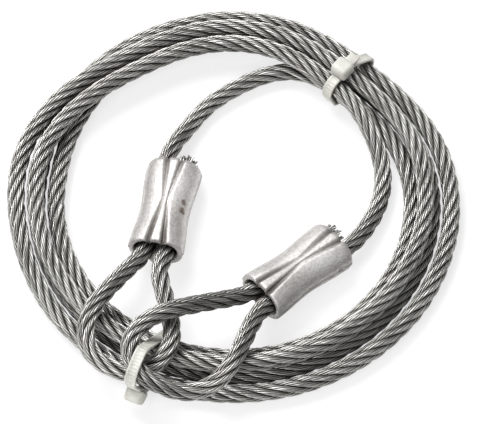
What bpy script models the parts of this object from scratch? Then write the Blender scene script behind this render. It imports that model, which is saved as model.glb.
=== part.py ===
"""Coiled wire rope sling: 6 mm galvanised steel rope with a pressed ferrule and a soft eye
at each end, wound into a four-turn coil that two cable ties hold together.

Lengths below are in millimetres and angles in degrees; MM turns them into metres where a
mesh is made. The sling is laid out round the coil's upright axis, with the floor at height
zero and +Z up, and is moved at the end so that the origin is the middle of its footprint.
Angles run counter-clockwise from +X, and the rope is followed from end A to end B, which
runs clockwise round the coil."""

import math

import bmesh
import bpy
import numpy as np
from mathutils import Matrix, Vector

MM = 0.001
UP = np.array((0.0, 0.0, 1.0))

# Rope: six outer strands laid right-handed round a core strand.
ROPE_RADIUS = 3.0
STRANDS = 6
STRAND_INNER_RADIUS = 1.2
STRAND_CENTRE_RADIUS = 2.0
STRAND_HALF_ANGLE = 24.5
CORE_RADIUS = 0.6
LAY_LENGTH = 36.0
COIL_RINGS_PER_LAY = 8
END_RINGS_PER_LAY = 10
FLEX_GAP = 1.4
PATH_STEP = 0.5
EASING = 6
EASING_REACH = 3

# Coil: three lanes on the ties and an upper lane that lies on them. The rope comes in at
# the joining angle, and each turn changes lanes between the two crossing angles. Each dent
# in the coil's outline has a depth, an angle and a spread.
UPPER_LANE_RISE = 6.4
UPPER_LANE_OFFSET = 1.2
MIDDLE_LANE_RADIUS = 64.85
LANE_STEP = 6.35
CROSSING_START = 176.0
CROSSING_END = 118.0
CLIMB_START = 220.0
JOINING_ANGLE = 58.0
DEPARTURE_ANGLE = 50.0
DENTS = ((4.6, 48.0, 26.0), (1.8, 125.0, 28.0))
TURNS = 4
WINDING_STEP = 4.0

# The footprint's middle, from the coil's axis.
FOOTPRINT_MIDDLE = (-0.001, -2.844)

# Ferrules: oval pressed sleeves with a bore for each of the two rope parts.
FERRULE_WIDTH = 18.0
FERRULE_HEIGHT = 13.6
FERRULE_WAIST = 0.9
FERRULE_WAIST_POWER = 1.4
FERRULE_BODY_STEPS = 6
FERRULE_END_ROUND = 1.6
FERRULE_END_ANGLES = (0.0, 45.0, 90.0)
FERRULE_STEPS = 20
FERRULE_SHARP_ANGLE = 40.0
BORE_STEPS = 12
BORE_OFFSET = 3.4
BORE_RADIUS = 3.3
BORE_OVERRUN = 2.0
STUB_LENGTH = 2.6
STRAIGHT_BEYOND_LEAD = 4.0
STRAIGHT_BEYOND_EYE = 2.5
PASS_POINTS = 10
FERRULE_A_EYE_END = (-25.4, -23.5, 11.0)
FERRULE_A_LEAD_END = (-19.3, 10.3, 7.2)
FERRULE_B_EYE_END = (8.3, -40.5, 11.5)
FERRULE_B_LEAD_END = (32.9, -18.6, 7.3)

# Where the free rope runs between the ferrules and the coil.
EYE_A = (
    (-23.9, -29.4, 12.4),
    (-22.2, -40.4, 13.8),
    (-19.9, -50.8, 15.8),
    (-19.3, -57.8, 17.6),
    (-21.2, -64.1, 17.8),
    (-25.9, -67.8, 16.1),
    (-32.8, -68.8, 14.2),
    (-39.6, -66.4, 14.2),
    (-44.8, -62.4, 15.0),
    (-47.0, -55.8, 16.4),
    (-45.0, -48.0, 17.4),
    (-41.0, -41.2, 16.4),
    (-36.4, -34.6, 14.4),
    (-31.6, -28.0, 12.4),
)
EYE_B = (
    (5.9, -50.3, 13.8),
    (2.6, -59.4, 16.4),
    (-1.2, -68.0, 17.6),
    (-6.8, -73.8, 16.0),
    (-14.2, -76.2, 15.4),
    (-21.8, -75.8, 18.9),
    (-28.2, -73.2, 21.7),
    (-32.0, -68.9, 23.0),
    (-32.5, -61.6, 23.8),
    (-28.0, -55.6, 24.0),
    (-21.4, -51.6, 23.4),
    (-12.8, -47.6, 20.0),
    (-0.5, -42.0, 14.2),
)
LEAD_A = (
    (-14.9, 27.7, 4.6),
    (-8.7, 35.9, 4.5),
    (1.1, 43.1, 4.5),
    (10.3, 47.8, 4.5),
    (18.1, 49.4, 4.5),
)
LEAD_B = (
    (39.4, 33.1, 10.3),
    (44.3, 24.9, 8.6),
    (47.8, 16.0, 6.2),
    (49.0, 6.6, 4.7),
    (47.3, -2.4, 4.6),
    (43.0, -11.6, 5.5),
)

# The joints between the coil and the two ends: angles round the coil, on the free rope
# that runs inside this radius.
FLEX_A_ANGLE = 79.0
FLEX_B_ANGLE = 24.0
FLEX_RADIUS_LIMIT = 53.4

# Cable ties. The coil rests on their straps.
STRAP_WIDTH = 3.6
STRAP_THICKNESS = 1.1
STRAP_GAP = 0.35
OBLIQUE_REACH = 1.8
LOOP_STEP = 22.5
TIE_HEAD_SIZE = (6.2, 6.4, 4.6)
TIE_HEAD_BEVEL = 0.6
TIE_STUB_LENGTH = 3.5
STUB_OVERLAP = 1.0
STUB_RISE = 1.2
TIE_INNER_RADIUS = 48.0
EYE_TIP_RADIUS = 71.0
LANE_CLEARANCE = 1.0
TIE_1_ANGLE = 50.0
TIE_1_TRAVEL = 2.5
TIE_2_ANGLE = 247.0

# Where each tie's head and the end of its tail face, as radial and upward parts.
TIE_1_HEAD_WAY = (0.0, 1.0)
TIE_1_TAIL_WAY = (1.0, 0.2)
TIE_2_HEAD_WAY = (1.0, 0.2)
TIE_2_TAIL_WAY = (0.3, -1.0)

# Finishes: colour, roughness and how metallic.
STEEL = ((0.42, 0.42, 0.41), 0.34, 1.0)
ALUMINIUM = ((0.83, 0.82, 0.80), 0.38, 1.0)
NYLON = ((0.86, 0.86, 0.80), 0.45, 0.0)

FLOOR_LANE_HEIGHT = STRAP_THICKNESS + STRAP_GAP + ROPE_RADIUS
UPPER_LANE_HEIGHT = FLOOR_LANE_HEIGHT + UPPER_LANE_RISE


def smooth(t):
    """0 to 1 with level ends."""
    t = min(max(t, 0.0), 1.0)
    return t * t * (3.0 - 2.0 * t)


def unit(vector):
    return vector / np.linalg.norm(vector)


def units(vectors):
    return vectors / np.linalg.norm(vectors, axis=1)[:, None]


def middle_lane(angle):
    """Radius of the middle lane, which the first cable tie and the crossing pull inwards."""
    radius = MIDDLE_LANE_RADIUS
    for depth, dent_angle, spread in DENTS:
        away = (angle - dent_angle + 180.0) % 360.0 - 180.0
        radius -= depth * math.exp(-((away / spread) ** 2))
    return radius


def lane_radius(turn, angle):
    """Inner, middle, outer and upper lane, then the place where end B leaves the coil."""
    radius = middle_lane(angle)
    if turn < 3:
        return radius + (turn - 1) * LANE_STEP
    radius -= UPPER_LANE_OFFSET * (1.0 + math.cos(math.radians(angle)))
    return radius if turn == 3 else radius - LANE_STEP


def coil_point(wound):
    """Centre of the rope after this many degrees of winding."""
    angle = CROSSING_END - wound
    turn = int(wound // 360.0)
    crossing_span = CROSSING_START - CROSSING_END
    to_crossing = wound - 360.0 * turn - (360.0 - crossing_span)
    across = smooth(to_crossing / crossing_span)
    radius = (1.0 - across) * lane_radius(turn, angle)
    radius += across * lane_radius(min(turn + 1, TURNS), angle)
    climb = 0.0
    if turn == 2:
        climb_span = CLIMB_START - CROSSING_START
        climb = smooth((to_crossing + climb_span) / climb_span)
    elif turn > 2:
        climb = 1.0
    height = FLOOR_LANE_HEIGHT + climb * (UPPER_LANE_HEIGHT - FLOOR_LANE_HEIGHT)
    turned = math.radians(angle)
    return radius * math.cos(turned), radius * math.sin(turned), height


def ferrule_frame(eye_end, lead_end):
    """Eye end, lead end, direction from eye to lead, and sideways direction of a ferrule."""
    eye_end = np.array(eye_end)
    lead_end = np.array(lead_end)
    along = unit(lead_end - eye_end)
    return eye_end, lead_end, along, unit(np.cross(along, UP))


def ferrule_pass(eye_end, lead_end, offset, beyond_lead, beyond_eye):
    """Points of a straight rope part in a ferrule, from its lead end to its eye end."""
    eye, lead, along, side = ferrule_frame(eye_end, lead_end)
    first = lead + along * beyond_lead + side * offset
    last = eye - along * beyond_eye + side * offset
    return [first + (last - first) * t for t in np.linspace(0.0, 1.0, PASS_POINTS)]


def rope_controls():
    """Points that the rope's centre passes, from the dead end at A to the one at B."""
    ends_a = (FERRULE_A_EYE_END, FERRULE_A_LEAD_END)
    ends_b = (FERRULE_B_EYE_END, FERRULE_B_LEAD_END)
    stub = (STUB_LENGTH, STRAIGHT_BEYOND_EYE)
    lead = (STRAIGHT_BEYOND_LEAD, STRAIGHT_BEYOND_EYE)
    points = ferrule_pass(*ends_a, BORE_OFFSET, *stub)
    points += EYE_A
    points += reversed(ferrule_pass(*ends_a, -BORE_OFFSET, *lead))
    points += LEAD_A
    first_wound = CROSSING_END - JOINING_ANGLE
    last_wound = 360.0 * TURNS + CROSSING_END - DEPARTURE_ANGLE
    steps = int(round((last_wound - first_wound) / WINDING_STEP))
    points += [coil_point(w) for w in np.linspace(first_wound, last_wound, steps + 1)]
    points += LEAD_B
    points += ferrule_pass(*ends_b, BORE_OFFSET, *lead)
    points += EYE_B
    points += reversed(ferrule_pass(*ends_b, -BORE_OFFSET, *stub))
    return np.array(points, dtype=float)


def rope_path():
    """The rope's centre in steps of about half a millimetre, and how far along each point is."""
    points = rope_controls()
    gaps = np.linalg.norm(np.diff(points, axis=0), axis=1)
    at = np.concatenate([[0.0], np.cumsum(gaps)])
    slope = np.gradient(points, at, axis=0)
    fine = np.arange(0.0, at[-1], PATH_STEP)
    which = np.clip(np.searchsorted(at, fine, side="right") - 1, 0, len(gaps) - 1)
    t = ((fine - at[which]) / gaps[which])[:, None]
    gap = gaps[which][:, None]
    curve = (1 + 2 * t) * (1 - t) ** 2 * points[which]
    curve += t * (1 - t) ** 2 * gap * slope[which]
    curve += t**2 * (3 - 2 * t) * points[which + 1]
    curve += t**2 * (t - 1) * gap * slope[which + 1]
    curve = relaxed(curve)
    steps = np.linalg.norm(np.diff(curve, axis=0), axis=1)
    return curve, np.concatenate([[0.0], np.cumsum(steps)])


def relaxed(curve):
    """The curve with its tight bends eased, as stiff rope eases them."""
    reach = EASING_REACH * EASING
    weights = np.exp(-((np.arange(-reach, reach + 1) / EASING) ** 2) / 2)
    weights /= weights.sum()
    before = curve[0] + (curve[0] - curve[1 : reach + 1])[::-1]
    after = curve[-1] + (curve[-1] - curve[-reach - 1 : -1])[::-1]
    padded = np.concatenate([before, curve, after])
    eased = [np.convolve(padded[:, axis], weights, mode="valid") for axis in range(3)]
    return np.stack(eased, axis=1)


def along_path(values, at, places):
    """Vectors known along the path, at other places along it."""
    return np.stack([np.interp(places, at, values[:, axis]) for axis in range(3)], axis=1)


def section_ranges(curve, at):
    """Where end A, the coil and end B start and end: the rope is parted at its flex points."""
    angles = np.degrees(np.arctan2(curve[:, 1], curve[:, 0]))
    inside = np.linalg.norm(curve[:, :2], axis=1) < FLEX_RADIUS_LIMIT
    half = len(curve) // 2
    flex_a = np.where(inside, np.abs(angles - FLEX_A_ANGLE), 360.0)
    flex_b = np.where(inside, np.abs(angles - FLEX_B_ANGLE), 360.0)
    cut_a = at[int(np.argmin(flex_a[:half]))]
    cut_b = at[half + int(np.argmin(flex_b[half:]))]
    return {"end_a": (0.0, cut_a), "coil": (cut_a, cut_b), "end_b": (cut_b, at[-1])}


def section_rings(curve, at, start, end, rings_per_lay):
    """Centres of a section's rings, the three directions of each, and the strands' phase."""
    count = int(round((end - start) * rings_per_lay / LAY_LENGTH))
    places = np.linspace(start, end, count + 1)
    centres = along_path(curve, at, places)
    tangents = units(along_path(np.gradient(curve, axis=0), at, places))
    sides = units(np.cross(UP, tangents))
    return centres, sides, np.cross(tangents, sides), tangents, 2.0 * math.pi * places / LAY_LENGTH


def material(name, colour, roughness, metallic):
    made = bpy.data.materials.new(name)
    made.use_nodes = True
    surface = made.node_tree.nodes["Principled BSDF"]
    surface.inputs["Base Color"].default_value = (*colour, 1.0)
    surface.inputs["Roughness"].default_value = roughness
    surface.inputs["Metallic"].default_value = metallic
    return made


def new_collection(name):
    made = bpy.data.collections.new(name)
    bpy.context.scene.collection.children.link(made)
    return made


def add_object(name, data, collection, finish=None):
    made = bpy.data.objects.new(name, data)
    collection.objects.link(made)
    if finish:
        data.materials.append(finish)
    return made


def as_helper(helper):
    helper.hide_render = True
    helper.display_type = "WIRE"
    return helper


def poly_spline(curve, points, cyclic=False, tilts=None):
    spline_made = curve.splines.new("POLY")
    spline_made.points.add(len(points) - 1)
    spline_made.use_cyclic_u = cyclic
    for index, (place, point) in enumerate(zip(spline_made.points, points)):
        place.co = (*(value * MM for value in point), 1.0)
        if tilts is not None:
            place.tilt = tilts[index]


def strand_section(helpers):
    """Wedge that one strand fills between the core and the rope's outside."""
    half = math.radians(STRAND_HALF_ANGLE)
    corner_x = ROPE_RADIUS * math.cos(half) - STRAND_CENTRE_RADIUS
    corner_y = ROPE_RADIUS * math.sin(half)
    inner_x = STRAND_INNER_RADIUS - STRAND_CENTRE_RADIUS
    curve = bpy.data.curves.new("strand_section", "CURVE")
    curve.dimensions = "2D"
    curve.fill_mode = "NONE"
    corners = ((inner_x, 0.0, 0.0), (corner_x, corner_y, 0.0), (corner_x, -corner_y, 0.0))
    poly_spline(curve, corners, cyclic=True)
    return as_helper(add_object("strand_section", curve, helpers))


def trimmed(points, tangents, at_start, at_end):
    """The points with half the flex gap taken off the ends that face a flex point."""
    points = points.copy()
    if at_start:
        points[0] += tangents[0] * FLEX_GAP / 2
    if at_end:
        points[-1] -= tangents[-1] * FLEX_GAP / 2
    return points


def add_strands(rings, name, at_start, at_end, collection, section, finish):
    """The six strands and the core of one stretch of the rope."""
    centres, sides, ups, tangents, phases = rings
    for strand in range(STRANDS):
        turned = phases + 2.0 * math.pi * strand / STRANDS
        outward = np.cos(turned)[:, None] * sides + np.sin(turned)[:, None] * ups
        points = trimmed(centres + STRAND_CENTRE_RADIUS * outward, tangents, at_start, at_end)
        curve = bpy.data.curves.new(f"{name}_strand_{strand + 1}", "CURVE")
        curve.dimensions = "3D"
        curve.twist_mode = "Z_UP"
        curve.bevel_mode = "OBJECT"
        curve.bevel_object = section
        curve.use_fill_caps = True
        poly_spline(curve, points, tilts=(turned + math.pi) % (2.0 * math.pi))
        wire = add_object(curve.name, curve, collection, finish)
        split = wire.modifiers.new("Split", "TRIANGULATE")
        split.quad_method = "FIXED_ALTERNATE"
    core = bpy.data.curves.new(f"{name}_core_strand", "CURVE")
    core.dimensions = "3D"
    core.twist_mode = "Z_UP"
    core.bevel_depth = CORE_RADIUS * MM
    core.bevel_resolution = 0
    core.use_fill_caps = True
    poly_spline(core, trimmed(centres, tangents, at_start, at_end))
    add_object(core.name, core, collection, finish)


def solid_from(source, name, collection):
    """A mesh object with the shape that another object shows, which is then removed."""
    graph = bpy.context.evaluated_depsgraph_get()
    graph.update()
    mesh = bpy.data.meshes.new_from_object(source.evaluated_get(graph))
    mesh.name = name
    mesh.transform(source.matrix_world)
    bpy.data.objects.remove(source)
    work = bmesh.new()
    work.from_mesh(mesh)
    bmesh.ops.remove_doubles(work, verts=work.verts, dist=1e-3 * MM)
    bmesh.ops.recalc_face_normals(work, faces=work.faces)
    work.to_mesh(mesh)
    work.free()
    return add_object(name, mesh, collection)


def ferrule_profile(length):
    """Radius and height down the outer side, as fractions of the full radius and in mm."""
    full = FERRULE_HEIGHT / 2
    corner = FERRULE_END_ROUND
    top = [(0.0, length / 2)]
    for turned in FERRULE_END_ANGLES:
        around = math.radians(turned)
        radius = full - corner + corner * math.sin(around)
        top.append((radius, length / 2 - corner + corner * math.cos(around)))
    body = []
    for index in range(1, FERRULE_BODY_STEPS):
        across = index / FERRULE_BODY_STEPS
        pressed = math.sin(math.pi * across) ** FERRULE_WAIST_POWER
        waist = 1.0 - (1.0 - FERRULE_WAIST) * pressed
        body.append((full * waist, (length / 2 - corner) * (1.0 - 2.0 * across)))
    return top + body + [(radius, -height) for radius, height in reversed(top)]


def add_ferrule(name, eye_end, lead_end, collection, helpers, finish):
    """Pressed oval sleeve: a turned barrel drawn wider one way, with two bores."""
    eye, lead, along, side = ferrule_frame(eye_end, lead_end)
    length = float(np.linalg.norm(lead - eye))
    profile = ferrule_profile(length)
    mesh = bpy.data.meshes.new(name + "_profile")
    corners = [(radius * MM, 0.0, height * MM) for radius, height in profile]
    edges = [(index, index + 1) for index in range(len(corners) - 1)]
    mesh.from_pydata(corners, edges, [])
    turned = add_object(name + "_turned", mesh, collection)
    screw = turned.modifiers.new("Turn", "SCREW")
    screw.axis = "Z"
    screw.steps = FERRULE_STEPS
    screw.render_steps = FERRULE_STEPS
    screw.use_merge_vertices = True
    screw.merge_threshold = 1e-3 * MM
    body = solid_from(turned, name, collection)
    body.data.materials.append(finish)
    body.data.transform(Matrix.Diagonal((FERRULE_WIDTH / FERRULE_HEIGHT, 1.0, 1.0, 1.0)))
    thick = np.cross(along, side)
    rotation = Matrix((side, thick, along)).transposed().to_4x4()
    middle = Vector((eye + lead) / 2 * MM)
    body.matrix_world = Matrix.Translation(middle) @ rotation
    for place in (-1, 1):
        work = bmesh.new()
        radius = BORE_RADIUS * MM
        bmesh.ops.create_cone(
            work, cap_ends=True, segments=BORE_STEPS, radius1=radius, radius2=radius,
            depth=(length + 2 * BORE_OVERRUN) * MM,
        )
        bore_mesh = bpy.data.meshes.new(f"{name}_bore")
        work.to_mesh(bore_mesh)
        work.free()
        bore = as_helper(add_object(f"{name}_bore_{place}", bore_mesh, helpers))
        offset = Matrix.Translation((place * BORE_OFFSET * MM, 0.0, 0.0))
        bore.matrix_world = body.matrix_world @ offset
        cut = body.modifiers.new("Bore", "BOOLEAN")
        cut.operation = "DIFFERENCE"
        cut.solver = "EXACT"
        cut.object = bore
    body.data.shade_smooth()
    body.data.set_sharp_from_angle(angle=math.radians(FERRULE_SHARP_ANGLE))
    return body


def convex_outline(points):
    """Corners of the tightest outline round some points, counter-clockwise."""
    ordered = sorted({(round(x, 4), round(y, 4)) for x, y in points})
    sides = []
    for sequence in (ordered, ordered[::-1]):
        chain = []
        for point in sequence:
            while len(chain) > 1:
                (ax, ay), (bx, by) = chain[-2:]
                if (bx - ax) * (point[1] - ay) - (by - ay) * (point[0] - ax) > 1e-9:
                    break
                chain.pop()
            chain.append(point)
        sides.append(chain[:-1])
    return sides[0] + sides[1]


def loop_round(centres, radius):
    """Tight loop at this distance round the centres of the ropes in a cable tie."""
    points = []
    for centre in centres:
        for turned in np.radians(np.arange(0.0, 360.0, LOOP_STEP)):
            x = centre[0] + radius * math.cos(turned)
            points.append((x, centre[1] + radius * math.sin(turned)))
    return convex_outline(points)


def ropes_at(angle, travel):
    """Radius and height of the rope's centres in the sector that a cable tie needs."""
    centres = rope_path()[0]
    around = np.degrees(np.arctan2(centres[:, 1], centres[:, 0]))
    radii = np.linalg.norm(centres[:, :2], axis=1)
    away = (around - angle + 180.0) % 360.0 - 180.0
    reach = STRAP_WIDTH / 2 + OBLIQUE_REACH + np.radians(travel) * radii
    near = (np.abs(np.radians(away) * radii) < reach) & (radii > TIE_INNER_RADIUS)
    # The legs of the eyes pass beside the strap, and only their tips are tied.
    in_lanes = centres[:, 2] < UPPER_LANE_HEIGHT + LANE_CLEARANCE
    near &= in_lanes | (radii > EYE_TIP_RADIUS)
    return list(zip(radii[near], centres[near, 2]))


def head_place(loop, direction):
    """Middle, direction and outward direction of the loop's straight stretch facing a way."""
    best = None
    for start, end in zip(loop, loop[1:] + loop[:1]):
        stretch = np.array(end) - np.array(start)
        length = np.linalg.norm(stretch)
        outward = np.array((stretch[1], -stretch[0])) / length
        facing = length * max(0.0, float(outward @ direction)) ** 4
        if best is None or facing > best[0]:
            best = (facing, (np.array(start) + np.array(end)) / 2, stretch / length, outward)
    return best[1:]


def add_block(name, size, place, turned, collection, bevel):
    bpy.ops.mesh.primitive_cube_add(size=1.0)
    block = bpy.context.object
    block.name = name
    block.data.transform(Matrix.Diagonal((*(value * MM for value in size), 1.0)))
    block.matrix_world = Matrix.Translation(place) @ turned
    for old in block.users_collection:
        old.objects.unlink(block)
    collection.objects.link(block)
    if bevel:
        rounding = block.modifiers.new("Round", "BEVEL")
        rounding.width = bevel * MM
        rounding.segments = 1
    return as_helper(block)


def add_cable_tie(name, angle, travel, head_way, stub_way, collection, helpers, finish):
    """Strap round the bundle with its ratchet head and the end of its trimmed tail.
    Its own X is radial, its Y is up, and its origin is on the coil's upright axis."""
    ropes = ropes_at(angle, travel)
    inner = loop_round(ropes, ROPE_RADIUS + STRAP_GAP)
    outer = loop_round(ropes, ROPE_RADIUS + STRAP_GAP + STRAP_THICKNESS)
    curve = bpy.data.curves.new(name + "_loop", "CURVE")
    curve.dimensions = "2D"
    curve.fill_mode = "BOTH"
    curve.extrude = STRAP_WIDTH / 2 * MM
    for outline in (outer, inner):
        poly_spline(curve, [(x, y, 0.0) for x, y in outline], cyclic=True)
    strap = add_object(name + "_loop", curve, collection)
    tie = solid_from(strap, name, collection)
    tie.data.materials.append(finish)
    turned = math.radians(angle)
    radial = Vector((math.cos(turned), math.sin(turned), 0.0))
    frame = Matrix((radial, Vector(UP), radial.cross(Vector(UP)))).transposed().to_4x4()
    tie.matrix_world = frame
    middle, stretch, outward = head_place(outer, np.array(head_way))
    if stretch @ np.array(stub_way) < 0.0:
        stretch = -stretch
    length, width, height = TIE_HEAD_SIZE
    tangent = np.array((*stretch, 0.0))
    normal = np.array((*outward, 0.0))
    across = np.cross(tangent, normal)
    local = Matrix((tangent, normal, across)).transposed().to_4x4()
    centre = middle + outward * (height / 2 - STRAP_THICKNESS / 2)
    stub_at = middle + outward * STUB_RISE + stretch * (length / 2 + TIE_STUB_LENGTH / 2)
    blocks = (
        ("head", (length, height, width), centre, TIE_HEAD_BEVEL),
        ("tail", (TIE_STUB_LENGTH + STUB_OVERLAP, STRAP_THICKNESS, STRAP_WIDTH), stub_at, 0.0),
    )
    for label, size, place, bevel in blocks:
        spot = frame @ Vector((*(value * MM for value in place), 0.0))
        block = add_block(f"{name}_{label}", size, spot, frame @ local, helpers, bevel)
        join = tie.modifiers.new(label, "BOOLEAN")
        join.operation = "UNION"
        join.solver = "EXACT"
        join.object = block
    return tie


def main():
    for old in list(bpy.data.objects):
        bpy.data.objects.remove(old)
    parts = new_collection("wire_rope_sling")
    helpers = new_collection("helpers")
    steel = material("galvanised_steel_rope", *STEEL)
    aluminium = material("pressed_aluminium", *ALUMINIUM)
    nylon = material("natural_nylon", *NYLON)
    section = strand_section(helpers)
    curve, at = rope_path()
    for name, (start, end) in section_ranges(curve, at).items():
        rings_per_lay = COIL_RINGS_PER_LAY if name == "coil" else END_RINGS_PER_LAY
        rings = section_rings(curve, at, start, end, rings_per_lay)
        add_strands(rings, name, name != "end_a", name != "end_b", parts, section, steel)
    ends_a = (FERRULE_A_EYE_END, FERRULE_A_LEAD_END)
    ends_b = (FERRULE_B_EYE_END, FERRULE_B_LEAD_END)
    add_ferrule("ferrule_a", *ends_a, parts, helpers, aluminium)
    add_ferrule("ferrule_b", *ends_b, parts, helpers, aluminium)
    add_cable_tie(
        "cable_tie_1", TIE_1_ANGLE, TIE_1_TRAVEL, TIE_1_HEAD_WAY, TIE_1_TAIL_WAY, parts,
        helpers, nylon,
    )
    add_cable_tie(
        "cable_tie_2", TIE_2_ANGLE, 0.0, TIE_2_HEAD_WAY, TIE_2_TAIL_WAY, parts, helpers, nylon
    )
    to_origin = Matrix.Translation((*(-place * MM for place in FOOTPRINT_MIDDLE), 0.0))
    for made in (*parts.objects, *helpers.objects):
        made.matrix_world = to_origin @ made.matrix_world


if __name__ == "__main__":
    main()
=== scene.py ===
"""Looks of a coiled wire rope sling: every wire of the rope, two pressed aluminium ferrules
and two nylon cable ties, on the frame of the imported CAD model.

Lengths are in millimetres and angles in degrees; MM turns them into metres where a mesh is
made. The rope's path follows the same driving dimensions as the CAD model. It is followed
from its dead end A to its dead end B, which runs clockwise round the coil."""

import math

import bmesh
import bpy
import numpy as np
from mathutils import Matrix, Vector


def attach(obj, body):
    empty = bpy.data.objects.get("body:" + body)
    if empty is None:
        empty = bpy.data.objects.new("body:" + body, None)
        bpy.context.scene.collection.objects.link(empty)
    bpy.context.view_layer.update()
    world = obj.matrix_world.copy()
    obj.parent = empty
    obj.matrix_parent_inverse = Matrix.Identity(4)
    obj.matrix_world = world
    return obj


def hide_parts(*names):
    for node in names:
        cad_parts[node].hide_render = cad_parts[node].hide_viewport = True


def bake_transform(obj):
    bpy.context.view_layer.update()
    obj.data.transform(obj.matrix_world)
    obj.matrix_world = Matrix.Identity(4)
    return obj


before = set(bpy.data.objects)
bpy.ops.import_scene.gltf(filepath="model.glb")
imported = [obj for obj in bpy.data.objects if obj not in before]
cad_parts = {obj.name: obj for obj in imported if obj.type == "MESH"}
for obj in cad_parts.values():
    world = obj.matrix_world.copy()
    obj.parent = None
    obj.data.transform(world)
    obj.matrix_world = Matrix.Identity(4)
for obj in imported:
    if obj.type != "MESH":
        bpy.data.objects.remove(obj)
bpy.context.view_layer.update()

MM = 0.001
UP = np.array((0.0, 0.0, 1.0))

# Rope: 7x7, regular lay. Six right-hand strands round a core strand.
ROPE_RADIUS = 3.0
STRANDS = 6
STRAND_CENTRE_RADIUS = 2.0
LAY_LENGTH = 36.0
PATH_STEP = 0.5
EASING = 6
EASING_REACH = 3
WIRES = 6
WIRE_RADIUS = 0.325
WIRE_CENTRE_RADIUS = 0.635
WIRE_LAY_LENGTH = 11.0
WIRE_SIDES = 6
WIRE_STEP = 1.1
FRAY_LENGTH = 4.5
FRAY_SPREAD = 0.9
FRAY_LONGEST = 1.1
FRAY_SHORTEST = 0.8

# Coil: three lanes on the ties and an upper lane that lies on them. The rope comes in at
# the joining angle, and each turn changes lanes between the two crossing angles. Each dent
# in the coil's outline has a depth, an angle and a spread.
UPPER_LANE_RISE = 6.4
UPPER_LANE_OFFSET = 1.2
MIDDLE_LANE_RADIUS = 64.85
LANE_STEP = 6.35
CROSSING_START = 176.0
CROSSING_END = 118.0
CLIMB_START = 220.0
JOINING_ANGLE = 58.0
DEPARTURE_ANGLE = 50.0
DENTS = ((4.6, 48.0, 26.0), (1.8, 125.0, 28.0))
TURNS = 4
WINDING_STEP = 4.0

# The footprint's middle, from the coil's axis.
FOOTPRINT_MIDDLE = (-0.001, -2.844)

# Ferrules: oval pressed sleeves with a bore for each of the two rope parts.
FERRULE_WIDTH = 18.0
FERRULE_HEIGHT = 13.6
LEAD_END_ROUND = 2.4
EYE_END_ROUND = 0.7
LIP_THICKNESS = 1.5
BORE_OFFSET = 3.4
STUB_LENGTH = 2.6
STRAIGHT_BEYOND_LEAD = 4.0
STRAIGHT_BEYOND_EYE = 2.5
PASS_POINTS = 10
FERRULE_STEPS = 288
BORE_CLEARANCE = 0.12
FLASH_HEIGHT = 0.3
NOTCH_DEPTH = 1.2
NOTCH_PLACE = 0.66
NOTCH_LENGTH = 0.08
NOTCH_HEIGHT = 1.5
FERRULE_A_EYE_END = (-25.4, -23.5, 11.0)
FERRULE_A_LEAD_END = (-19.3, 10.3, 7.2)
FERRULE_B_EYE_END = (8.3, -40.5, 11.5)
FERRULE_B_LEAD_END = (32.9, -18.6, 7.3)

# Patches of painted brownish reflection on ferrule A: middle (sideways, downwards, along it) and
# radius.
FERRULE_A_REFLECTION_PATCHES = (((5.8, -4.3, 0.3), 1.2), ((5.9, -4.2, -3.0), 1.4))

# Where the free rope runs between the ferrules and the coil.
EYE_A = (
    (-23.9, -29.4, 12.4),
    (-22.2, -40.4, 13.8),
    (-19.9, -50.8, 15.8),
    (-19.3, -57.8, 17.6),
    (-21.2, -64.1, 17.8),
    (-25.9, -67.8, 16.1),
    (-32.8, -68.8, 14.2),
    (-39.6, -66.4, 14.2),
    (-44.8, -62.4, 15.0),
    (-47.0, -55.8, 16.4),
    (-45.0, -48.0, 17.4),
    (-41.0, -41.2, 16.4),
    (-36.4, -34.6, 14.4),
    (-31.6, -28.0, 12.4),
)
EYE_B = (
    (5.9, -50.3, 13.8),
    (2.6, -59.4, 16.4),
    (-1.2, -68.0, 17.6),
    (-6.8, -73.8, 16.0),
    (-14.2, -76.2, 15.4),
    (-21.8, -75.8, 18.9),
    (-28.2, -73.2, 21.7),
    (-32.0, -68.9, 23.0),
    (-32.5, -61.6, 23.8),
    (-28.0, -55.6, 24.0),
    (-21.4, -51.6, 23.4),
    (-12.8, -47.6, 20.0),
    (-0.5, -42.0, 14.2),
)
LEAD_A = (
    (-14.9, 27.7, 4.6),
    (-8.7, 35.9, 4.5),
    (1.1, 43.1, 4.5),
    (10.3, 47.8, 4.5),
    (18.1, 49.4, 4.5),
)
LEAD_B = (
    (39.4, 33.1, 10.3),
    (44.3, 24.9, 8.6),
    (47.8, 16.0, 6.2),
    (49.0, 6.6, 4.7),
    (47.3, -2.4, 4.6),
    (43.0, -11.6, 5.5),
)

# The joints between the coil and the two ends: angles round the coil, on the free rope
# that runs inside this radius.
FLEX_A_ANGLE = 79.0
FLEX_B_ANGLE = 24.0
FLEX_RADIUS_LIMIT = 53.4

# Cable ties.
STRAP_WIDTH = 3.6
STRAP_THICKNESS = 1.1
STRAP_GAP = 0.35
STRAP_STEP = 0.25
RIB_DEPTH = 0.24
RIB_PITCH = 1.05
OBLIQUE_REACH = 1.8
TIE_HEAD_SIZE = (6.2, 6.4, 4.6)
TIE_HEAD_BEVEL = 1.1
TIE_HEAD_TAPER = 0.9
TIE_STUB_LENGTH = 3.5
STUB_OVERLAP = 1.0
STUB_RISE = 1.2
STUB_BEVEL = 0.22
STRAP_CORNER_STEP = 7.5
HEAD_CORNER_STEP = 22.5
TIE_INNER_RADIUS = 48.0
EYE_TIP_RADIUS = 71.0
LANE_CLEARANCE = 1.0
TIE_1_ANGLE = 50.0
TIE_1_TRAVEL = 2.5
TIE_2_ANGLE = 247.0

# Which way each tie's head and tail point, as (away from the coil's axis, up).
TIE_1_HEAD_WAY = (0.0, 1.0)
TIE_1_TAIL_WAY = (1.0, 0.2)
TIE_2_HEAD_WAY = (1.0, 0.2)
TIE_2_TAIL_WAY = (0.3, -1.0)

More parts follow.
